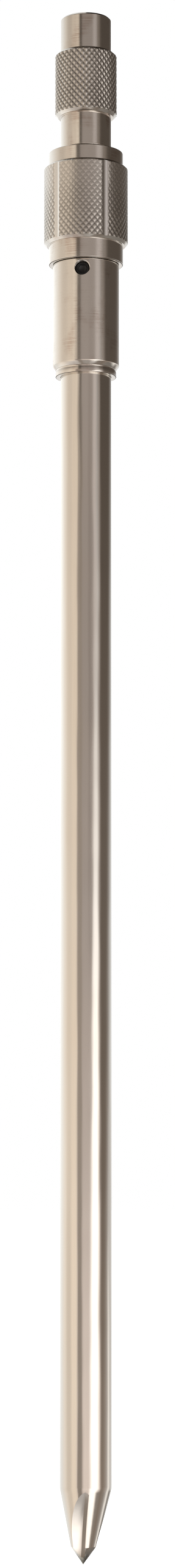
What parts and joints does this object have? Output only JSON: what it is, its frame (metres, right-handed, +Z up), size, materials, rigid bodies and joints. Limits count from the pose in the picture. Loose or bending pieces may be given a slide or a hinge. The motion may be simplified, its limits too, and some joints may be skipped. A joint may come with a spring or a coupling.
{
  "type": "telescopic bank stick",
  "caption": "Slim stainless telescopic ground stake with a ground point, a twist-lock collar and a knurled head with a threaded socket, for holding a rod rest or alarm.",
  "frame": {"origin": "on the tube's axis at the height of the point's end, where the stick enters the ground", "axes": "+Z runs up the stick from the point to the head; -Y is the front, where the grub screw shows; +X is to the right seen from the front"},
  "size_m": [0.0266, 0.0266, 0.4865],
  "materials": {
    "ground_steel": "ground and polished",
    "tube_steel": "finely brushed along the tube",
    "turned_steel": "fine turned",
    "knurled_steel": "diamond knurled and fine turned",
    "bright_steel": "polished",
    "black_screw": "black oxide",
    "pale_acetal": "machined natural acetal",
    "black_acetal": "machined black acetal",
    "black_rubber": "moulded"
  },
  "bodies": {
    "outer_stage": {"drive_tip": "ground_steel", "outer_tube": "tube_steel", "lock_sleeve": "turned_steel", "sleeve_grub_screw": "black_screw", "guide_bush": "pale_acetal"},
    "collet_carrier": {"clamp_collet": "pale_acetal", "thrust_washer": "bright_steel"},
    "lock_collar": {"lock_collar": "knurled_steel", "wiper_ring": "black_rubber"},
    "glide_ring": {"glide_ring": "pale_acetal"},
    "inner_stage": {"inner_tube": "bright_steel", "foot_plug": "black_acetal", "stage_head": "knurled_steel"}
  },
  "joints": [
    {"name": "collar_lift", "type": "slide", "parent": "outer_stage", "child": "collet_carrier", "axis": [0, 0, 1], "range_m": [0, 0.00063]},
    {"name": "collar_turn", "type": "hinge", "parent": "collet_carrier", "child": "lock_collar", "pos_m": [0, 0, 0.4243], "axis": [0, 0, 1], "range_deg": [0, 150]},
    {"name": "stage_slide", "type": "slide", "parent": "outer_stage", "child": "glide_ring", "axis": [0, 0, 1], "range_m": [0, 0.331]},
    {"name": "stage_spin", "type": "hinge", "parent": "glide_ring", "child": "inner_stage", "pos_m": [0, 0, 0.0622], "axis": [0, 0, 1], "continuous": true}
  ],
  "couplings": [
    {"joint": "collar_lift", "follows": "collar_turn", "m_per_rad": 0.00023873}
  ]
}
